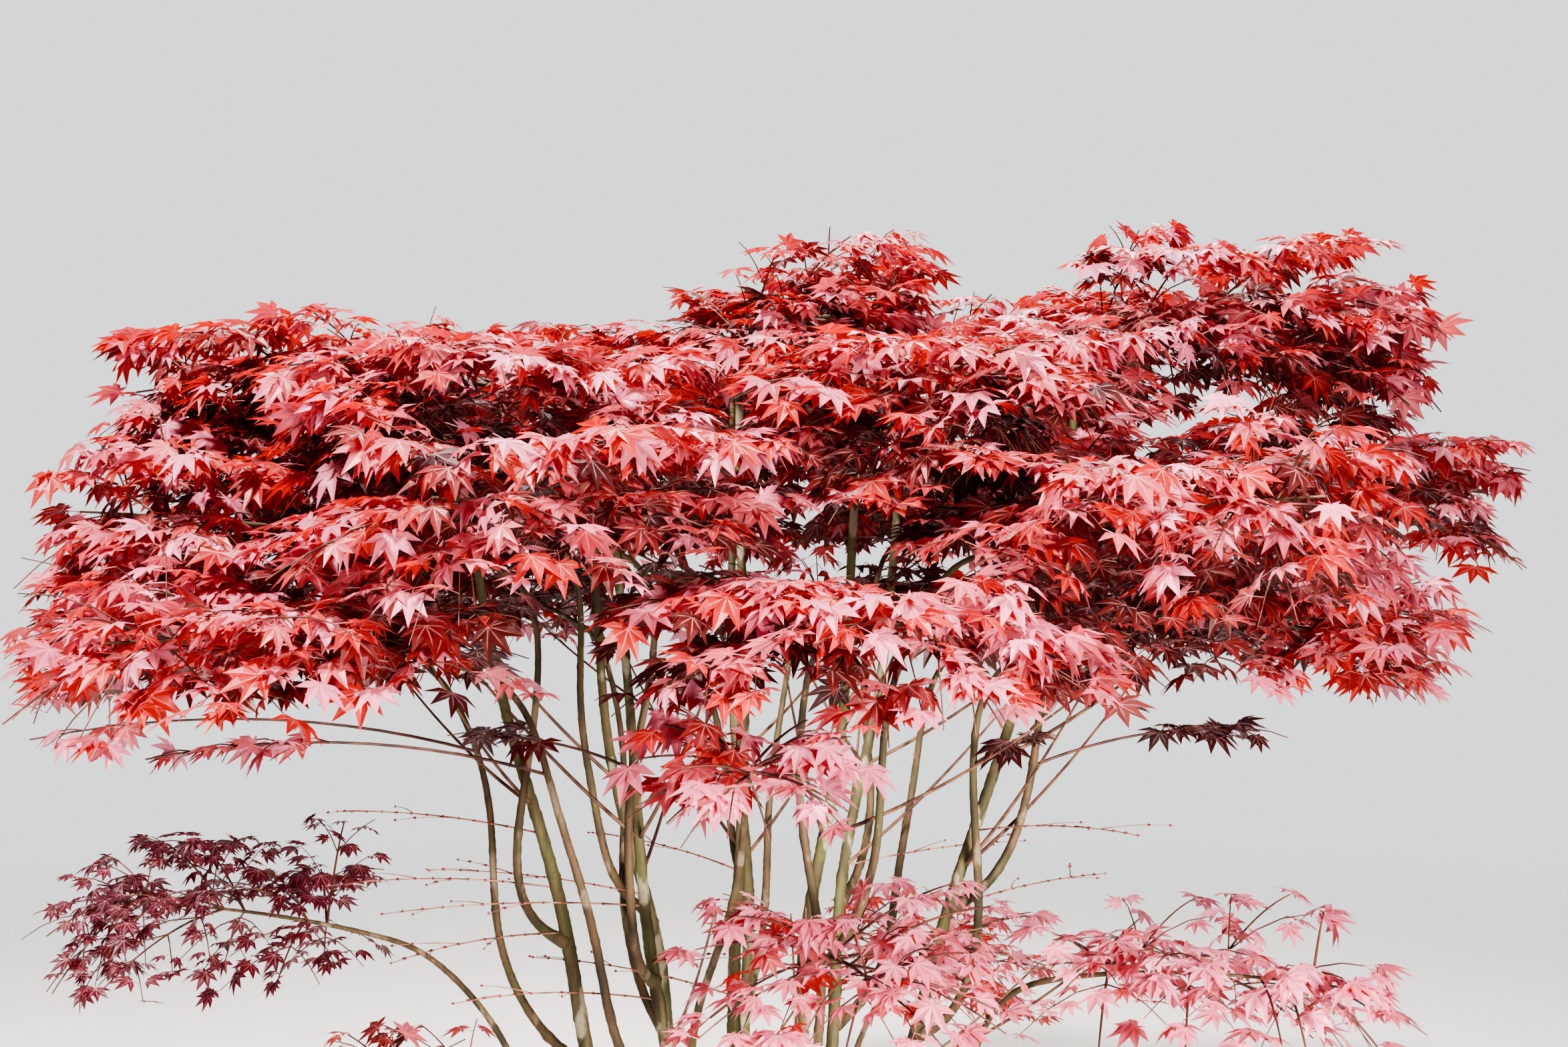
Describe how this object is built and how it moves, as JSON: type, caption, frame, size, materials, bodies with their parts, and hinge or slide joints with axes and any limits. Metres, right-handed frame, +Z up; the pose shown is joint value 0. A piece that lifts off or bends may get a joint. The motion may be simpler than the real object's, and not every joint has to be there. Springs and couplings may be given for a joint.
{
  "type": "japanese maple tree",
  "caption": "Many-stemmed Japanese maple shrub with red palmate leaves: low root crown, vase of stems, thin boughs, layered masses of foliage and low sprays.",
  "frame": {"origin": "on the ground under the root crown, at the middle of its flat cut", "axes": "+Z up; +X to the right and -Y towards the viewer when seen from the pictured side"},
  "size_m": [2.6053, 2.3092, 1.9883],
  "materials": {
    "bark": "smooth olive-brown bark with pale patches",
    "young_bark": "smooth reddish-brown bark of boughs",
    "foliage": "thin red leaves with a pale sheen, on dark red twigs"
  },
  "bodies": {
    "root": {"trunk": "bark", "stem_middle": "bark", "stem_right": "bark", "bough_right_shoulder": "young_bark", "bough_right_skirt": "young_bark", "stem_back_right": "bark", "bough_back_right_shoulder": "young_bark", "bough_back_right_skirt": "young_bark", "stem_back": "bark", "bough_back_shoulder": "young_bark", "bough_back_skirt": "young_bark", "stem_back_left": "bark", "bough_back_left_shoulder": "young_bark", "bough_back_left_skirt": "young_bark", "stem_left": "bark", "bough_left_shoulder": "young_bark", "bough_left_skirt": "young_bark", "stem_front_left": "bark", "bough_front_left_shoulder": "young_bark", "bough_front_left_skirt": "young_bark", "stem_front_right": "bark", "bough_front_right_shoulder": "young_bark", "bough_front_right_skirt": "young_bark", "bough_low_left": "young_bark", "bough_low_front": "young_bark", "bough_low_right": "young_bark", "bough_low_front_left": "young_bark", "bough_low_back": "young_bark", "bough_low_centre": "young_bark", "foliage_middle_crest": "foliage", "foliage_right_crest": "foliage", "foliage_right_shoulder": "foliage", "foliage_right_skirt": "foliage", "foliage_back_right_crest": "foliage", "foliage_back_right_shoulder": "foliage", "foliage_back_right_skirt": "foliage", "foliage_back_crest": "foliage", "foliage_back_shoulder": "foliage", "foliage_back_skirt": "foliage", "foliage_back_left_crest": "foliage", "foliage_back_left_shoulder": "foliage", "foliage_back_left_skirt": "foliage", "foliage_left_crest": "foliage", "foliage_left_shoulder": "foliage", "foliage_left_skirt": "foliage", "foliage_front_left_crest": "foliage", "foliage_front_left_shoulder": "foliage", "foliage_front_left_skirt": "foliage", "foliage_front_right_crest": "foliage", "foliage_front_right_shoulder": "foliage", "foliage_front_right_skirt": "foliage", "foliage_low_left": "foliage", "foliage_low_front": "foliage", "foliage_low_right": "foliage", "foliage_low_front_left": "foliage", "foliage_low_back": "foliage", "foliage_low_centre": "foliage"}
  },
  "joints": []
}
